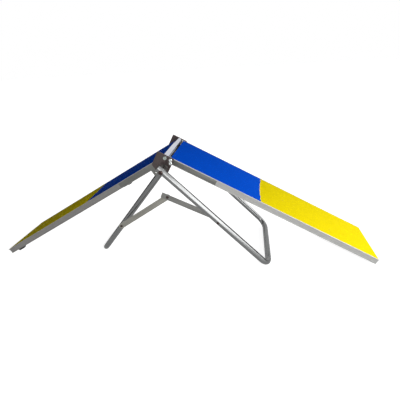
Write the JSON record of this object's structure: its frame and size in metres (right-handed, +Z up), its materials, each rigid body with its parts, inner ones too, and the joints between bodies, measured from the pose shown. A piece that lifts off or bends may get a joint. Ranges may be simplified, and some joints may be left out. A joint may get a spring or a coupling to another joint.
{
  "type": "dog agility seesaw",
  "caption": "Folding agility plank of two hinged halves with blue and yellow covering, on a folding stand of two U-shaped tubes with a two-bar brace.",
  "frame": {"origin": "on the ground under the axle, at mid width: centre of the bounding box's bottom, in the half-folded pose of the picture", "axes": "+X along the plank towards the half that carries the side plates, +Y towards the side without the brace, +Z up"},
  "size_m": [2.6274, 0.5176, 0.8008],
  "materials": {
    "mill_aluminium": "satin extruded aluminium with fine lengthwise drawing lines",
    "tube_aluminium": "smooth drawn aluminium tube",
    "dark_aluminium": "dull dark grey aluminium",
    "plate_paint": "dark brownish grey coated steel plate",
    "bright_steel": "bright zinc-plated steel",
    "dark_bolt": "darkened steel bolt",
    "bar_steel": "dull grey steel flat bar",
    "blue_rubber": "fine speckled non-slip rubber",
    "yellow_rubber": "fine speckled non-slip rubber",
    "black_rubber": "matt black rubber",
    "black_plastic": "matt black plastic"
  },
  "bodies": {
    "inner_leg": {"inner_leg_tube": "tube_aluminium", "inner_end_plug_near": "black_plastic", "inner_end_plug_far": "black_plastic", "pivot_bolt_near": "dark_bolt", "pivot_bolt_far": "dark_bolt", "pivot_nut_near": "bright_steel", "pivot_nut_far": "bright_steel", "pivot_spacer_near": "dark_aluminium", "pivot_spacer_far": "dark_aluminium", "pivot_bush_near": "black_plastic", "pivot_bush_far": "black_plastic", "brace_pin_left": "dark_bolt", "brace_spacer_left": "bright_steel", "brace_nut_left": "bright_steel"},
    "outer_leg": {"outer_leg_tube": "tube_aluminium", "outer_end_plug_near": "black_plastic", "outer_end_plug_far": "black_plastic", "brace_pin_right": "dark_bolt", "brace_washer_right": "bright_steel"},
    "brace_left": {"brace_bar_left": "bar_steel", "knee_nut": "bright_steel"},
    "brace_right": {"brace_bar_right": "bar_steel", "knee_bolt": "dark_bolt"},
    "right_half": {"side_plate_near": "plate_paint", "side_plate_far": "plate_paint", "pivot_flange_near": "dark_aluminium", "pivot_flange_far": "dark_aluminium", "plate_bolt_lower_near": "bright_steel", "plate_bolt_upper_near": "bright_steel", "plate_bolt_lower_far": "bright_steel", "plate_bolt_upper_far": "bright_steel", "axle_bar": "bright_steel", "axle_bolt_near": "bright_steel", "axle_bolt_far": "bright_steel", "right_rail_near": "mill_aluminium", "right_rail_far": "mill_aluminium", "right_deck": "mill_aluminium", "right_crossbar_inner": "mill_aluminium", "right_crossbar_1": "mill_aluminium", "right_crossbar_2": "mill_aluminium", "right_crossbar_end": "mill_aluminium", "right_mat_blue": "blue_rubber", "right_mat_yellow": "yellow_rubber", "right_strap_near": "dark_aluminium", "right_strap_far": "dark_aluminium"},
    "left_half": {"left_rail_near": "mill_aluminium", "left_rail_far": "mill_aluminium", "left_deck": "mill_aluminium", "left_crossbar_inner": "mill_aluminium", "left_crossbar_1": "mill_aluminium", "left_crossbar_2": "mill_aluminium", "left_crossbar_end": "mill_aluminium", "left_mat_blue": "blue_rubber", "left_mat_yellow": "yellow_rubber", "left_strap_near": "dark_aluminium", "left_strap_far": "dark_aluminium", "left_pad_near": "black_rubber", "left_pad_far": "black_rubber", "left_lug_near": "dark_aluminium", "left_lug_far": "dark_aluminium"}
  },
  "joints": [
    {"name": "stand_fold", "type": "hinge", "parent": "inner_leg", "child": "outer_leg", "pos_m": [-0.01199, 0, 0.69597], "axis": [0, 1, 0], "range_deg": [-15, 79]},
    {"name": "plank_tilt", "type": "hinge", "parent": "inner_leg", "child": "right_half", "pos_m": [-0.01199, 0, 0.69597], "axis": [0, -1, 0], "range_deg": [-2, 20]},
    {"name": "plank_fold", "type": "hinge", "parent": "right_half", "child": "left_half", "pos_m": [0, 0, 0.75901], "axis": [0, 1, 0], "range_deg": [0, 58.8]},
    {"name": "brace_left_fold", "type": "hinge", "parent": "inner_leg", "child": "brace_left", "pos_m": [-0.35453, 0, 0.28501], "axis": [0, 1, 0], "range_deg": [-20.1, 3.9]},
    {"name": "brace_right_fold", "type": "hinge", "parent": "outer_leg", "child": "brace_right", "pos_m": [0.30452, 0, 0.35395], "axis": [0, 1, 0], "range_deg": [-3.4, 17.2]}
  ],
  "couplings": [
    {"joint": "brace_left_fold", "follows": "stand_fold", "ratio": -0.2525},
    {"joint": "brace_right_fold", "follows": "stand_fold", "ratio": 0.215}
  ]
}
